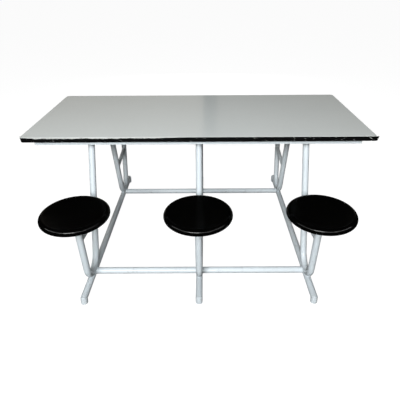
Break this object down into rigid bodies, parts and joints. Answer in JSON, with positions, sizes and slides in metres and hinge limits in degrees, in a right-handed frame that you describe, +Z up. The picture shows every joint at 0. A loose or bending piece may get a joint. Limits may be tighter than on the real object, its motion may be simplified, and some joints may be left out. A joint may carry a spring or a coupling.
{
  "type": "canteen table with attached swivel seats",
  "caption": "Rectangular laminated table top on a welded steel tube frame whose bent legs each carry a round black swivel seat.",
  "frame": {"origin": "on the floor, under the centre of the table top", "axes": "+Z up, +X along the length of the table, -Y towards the front seats"},
  "size_m": [1.608, 1.384, 0.725],
  "materials": {
    "top_laminate": "satin, pale neutral grey with a fine fleck",
    "core_board": "pressed board",
    "backing_laminate": "plain dark brown balancing sheet, matt",
    "edge_moulding": "black, satin gloss, scuffed",
    "powder_coat": "pale cool grey powder coat, satin",
    "seat_moulding": "black, smooth satin gloss",
    "swivel_steel": "plain turned and pressed steel",
    "zinc_screws": "bright zinc plate",
    "bush_nylon": "black nylon",
    "plug_plastic": "pale grey moulded plastic"
  },
  "bodies": {
    "frame": {"arm_back_left": "powder_coat", "arm_back_middle": "powder_coat", "arm_back_right": "powder_coat", "arm_front_left": "powder_coat", "arm_front_middle": "powder_coat", "arm_front_right": "powder_coat", "backing_sheet": "backing_laminate", "core_board": "core_board", "cross_rail_left": "powder_coat", "cross_rail_middle": "powder_coat", "cross_rail_right": "powder_coat", "edge_band": "edge_moulding", "floor_bar_left": "powder_coat", "floor_bar_middle": "powder_coat", "floor_bar_right": "powder_coat", "foot_plugs": "plug_plastic", "foot_stubs_left": "powder_coat", "foot_stubs_middle": "powder_coat", "foot_stubs_right": "powder_coat", "laminate_sheet": "top_laminate", "leg_back_left": "powder_coat", "leg_back_middle": "powder_coat", "leg_back_right": "powder_coat", "leg_front_left": "powder_coat", "leg_front_middle": "powder_coat", "leg_front_right": "powder_coat", "rail_back": "powder_coat", "rail_front": "powder_coat", "rail_plugs": "plug_plastic", "retaining_screws": "zinc_screws", "stretcher_back_left": "powder_coat", "stretcher_back_right": "powder_coat", "stretcher_front_left": "powder_coat", "stretcher_front_right": "powder_coat", "swivel_bushes": "bush_nylon", "top_screws": "zinc_screws"},
    "seat_front_left": {"seat_front_left": "seat_moulding", "swivel_plate_front_left": "swivel_steel", "spindle_front_left": "swivel_steel", "seat_screws_front_left": "zinc_screws"},
    "seat_front_middle": {"seat_front_middle": "seat_moulding", "swivel_plate_front_middle": "swivel_steel", "spindle_front_middle": "swivel_steel", "seat_screws_front_middle": "zinc_screws"},
    "seat_front_right": {"seat_front_right": "seat_moulding", "swivel_plate_front_right": "swivel_steel", "spindle_front_right": "swivel_steel", "seat_screws_front_right": "zinc_screws"},
    "seat_back_left": {"seat_back_left": "seat_moulding", "swivel_plate_back_left": "swivel_steel", "spindle_back_left": "swivel_steel", "seat_screws_back_left": "zinc_screws"},
    "seat_back_middle": {"seat_back_middle": "seat_moulding", "swivel_plate_back_middle": "swivel_steel", "spindle_back_middle": "swivel_steel", "seat_screws_back_middle": "zinc_screws"},
    "seat_back_right": {"seat_back_right": "seat_moulding", "swivel_plate_back_right": "swivel_steel", "spindle_back_right": "swivel_steel", "seat_screws_back_right": "zinc_screws"}
  },
  "joints": [
    {"name": "swivel_front_left", "type": "hinge", "parent": "frame", "child": "seat_front_left", "pos_m": [-0.532, -0.542, 0.426], "axis": [0, 0, 1], "continuous": true},
    {"name": "swivel_front_middle", "type": "hinge", "parent": "frame", "child": "seat_front_middle", "pos_m": [0, -0.542, 0.426], "axis": [0, 0, 1], "continuous": true},
    {"name": "swivel_front_right", "type": "hinge", "parent": "frame", "child": "seat_front_right", "pos_m": [0.532, -0.542, 0.426], "axis": [0, 0, 1], "continuous": true},
    {"name": "swivel_back_left", "type": "hinge", "parent": "frame", "child": "seat_back_left", "pos_m": [-0.532, 0.542, 0.426], "axis": [0, 0, 1], "continuous": true},
    {"name": "swivel_back_middle", "type": "hinge", "parent": "frame", "child": "seat_back_middle", "pos_m": [0, 0.542, 0.426], "axis": [0, 0, 1], "continuous": true},
    {"name": "swivel_back_right", "type": "hinge", "parent": "frame", "child": "seat_back_right", "pos_m": [0.532, 0.542, 0.426], "axis": [0, 0, 1], "continuous": true}
  ]
}
